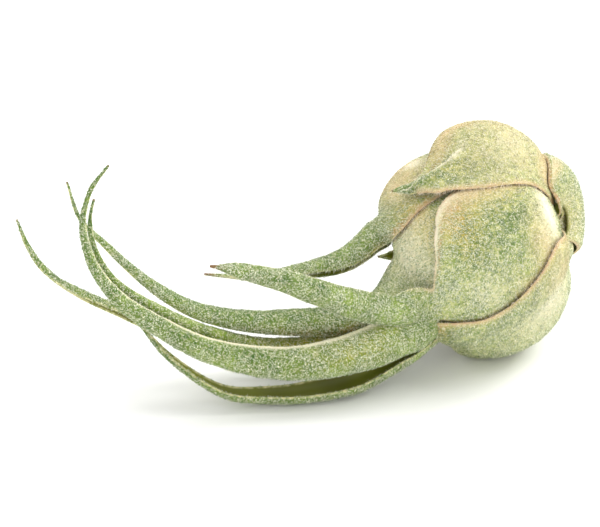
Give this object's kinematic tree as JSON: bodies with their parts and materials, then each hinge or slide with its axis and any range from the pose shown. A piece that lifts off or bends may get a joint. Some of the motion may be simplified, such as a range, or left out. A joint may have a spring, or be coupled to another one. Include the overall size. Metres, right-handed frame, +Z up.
{
  "type": "air plant",
  "caption": "Bulbous air plant lying on its side: puffed overlapping leaf sheaths form a bulb, and curled channelled blades arch away and turn up at their tips.",
  "frame": {"origin": "middle of the flat spot under the bulb, on the surface the plant rests on", "axes": "+X along the plant towards the stem end, +Y towards the far side of the bulb, +Z up"},
  "size_m": [0.1417, 0.0664, 0.0577],
  "materials": {
    "sheath_leaf": "matte, felted with fine pale hairs",
    "blade_leaf": "matte outside under pale felt, smooth olive inside",
    "stem_wood": "dry and rough"
  },
  "bodies": {
    "root": {"stem": "stem_wood", "leaf_far_right": "sheath_leaf", "leaf_crown": "sheath_leaf", "leaf_underside": "sheath_leaf", "leaf_front": "sheath_leaf", "leaf_far_left": "sheath_leaf", "leaf_upper_left": "sheath_leaf", "leaf_upper_long": "blade_leaf", "leaf_middle_long": "blade_leaf", "leaf_far_long": "blade_leaf", "leaf_lower_long": "blade_leaf", "leaf_inner_long": "blade_leaf"}
  },
  "joints": []
}
